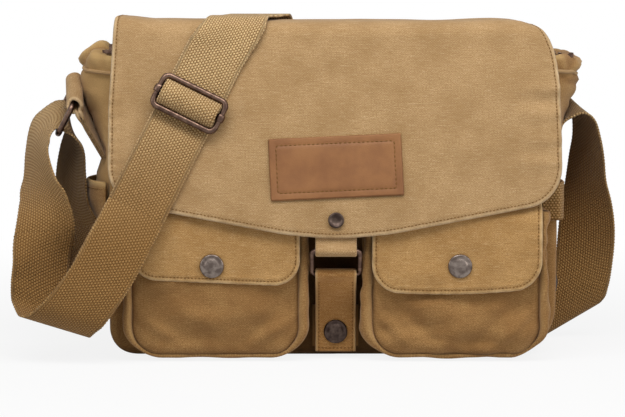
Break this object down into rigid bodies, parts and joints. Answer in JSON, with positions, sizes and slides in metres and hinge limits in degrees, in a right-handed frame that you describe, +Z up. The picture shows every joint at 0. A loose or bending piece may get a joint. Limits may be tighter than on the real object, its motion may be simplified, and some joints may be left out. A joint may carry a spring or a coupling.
{
  "type": "messenger bag",
  "caption": "Canvas messenger bag with a full front flap, snap pockets, a ring and strap closure, a zipped mouth and a webbing shoulder strap with a slide buckle.",
  "frame": {"origin": "middle of the base, on the surface that the bag stands on", "axes": "+X to the right seen from the front, +Y to the back, +Z up; the flap and pockets face -Y"},
  "size_m": [0.4176, 0.1337, 0.2296],
  "materials": {
    "canvas": "washed cotton canvas, matt",
    "webbing": "coarse cotton webbing, matt",
    "leather": "smooth brown leather, satin",
    "metal": "dark antique brass, satin",
    "cotton": "plain cotton lining, matt"
  },
  "bodies": {
    "bag": {"front_panel": "canvas", "back_panel": "canvas", "left_gusset": "canvas", "right_gusset": "canvas", "bottom_panel": "canvas", "lining": "cotton", "zip_tape_front": "cotton", "zip_tape_back": "cotton", "zip_teeth_front": "metal", "zip_teeth_back": "metal", "zip_stops": "metal", "left_pocket_front": "canvas", "right_pocket_front": "canvas", "left_pocket_gusset": "canvas", "right_pocket_gusset": "canvas", "left_flap_strip": "canvas", "right_flap_strip": "canvas", "left_snap_stud": "metal", "right_snap_stud": "metal", "closure_snap_stud": "metal", "closure_stud_patch": "canvas", "left_side_pocket": "canvas", "ring_tab": "webbing", "side_loop": "webbing", "side_snap": "metal", "strap_left_loop": "webbing", "strap_right_run": "webbing"},
    "flap": {"main_flap": "canvas", "leather_patch": "leather", "closure_tab": "canvas", "tab_rivet": "metal", "strap_over_flap": "webbing", "strap_under_layer": "webbing"},
    "closure_ring": {"closure_ring": "metal"},
    "closure_strap": {"closure_strap": "canvas", "closure_snap_cap": "metal"},
    "left_pocket_flap": {"left_pocket_flap": "canvas", "left_snap_cap": "metal"},
    "right_pocket_flap": {"right_pocket_flap": "canvas", "right_snap_cap": "metal"},
    "strap_ring": {"strap_ring": "metal"},
    "strap_slider": {"slider_frame": "metal", "slider_bar": "metal", "slider_loop": "webbing"},
    "zip_slider": {"zip_slider": "metal"},
    "zip_pull": {"zip_pull": "metal"}
  },
  "joints": [
    {"name": "flap_fold", "type": "hinge", "parent": "bag", "child": "flap", "pos_m": [0, 0.0368, 0.2178], "axis": [-1, 0, 0], "range_deg": [0, 140], "deforming": ["strap_over_flap", "strap_under_layer", "strap_left_loop", "strap_right_run"]},
    {"name": "closure_ring_swing", "type": "hinge", "parent": "flap", "child": "closure_ring", "pos_m": [0, -0.07335, 0.07534], "axis": [-1, 0, 0], "range_deg": [0, 70]},
    {"name": "closure_strap_swing", "type": "hinge", "parent": "closure_ring", "child": "closure_strap", "pos_m": [0, -0.06318, 0.0593], "axis": [-1, 0, 0], "range_deg": [0, 95]},
    {"name": "left_pocket_flap_fold", "type": "hinge", "parent": "bag", "child": "left_pocket_flap", "pos_m": [-0.023, -0.068, 0.08119], "axis": [-0.9833, 0, 0.1822], "range_deg": [0, 100], "deforming": ["strap_over_flap", "strap_under_layer", "strap_left_loop"]},
    {"name": "right_pocket_flap_fold", "type": "hinge", "parent": "bag", "child": "right_pocket_flap", "pos_m": [0.023, -0.068, 0.08119], "axis": [-0.9833, 0, -0.1822], "range_deg": [0, 100]},
    {"name": "strap_ring_swing", "type": "hinge", "parent": "bag", "child": "strap_ring", "pos_m": [-0.17713, -0.01248, 0.17635], "axis": [0, 0.9063, 0.4226], "range_deg": [-25, 60], "deforming": ["strap_left_loop"]},
    {"name": "strap_slider_slide", "type": "slide", "parent": "flap", "child": "strap_slider", "axis": [0.4431, 0.1787, 0.8785], "range_m": [-0.05, 0.02], "deforming": ["strap_over_flap", "strap_under_layer"]},
    {"name": "zip_slide", "type": "slide", "parent": "bag", "child": "zip_slider", "axis": [1, 0, 0], "range_m": [0, 0.28]},
    {"name": "zip_pull_swing", "type": "hinge", "parent": "zip_slider", "child": "zip_pull", "pos_m": [-0.15111, -0.0165, 0.2082], "axis": [0, -1, 0], "range_deg": [0, 170]}
  ]
}
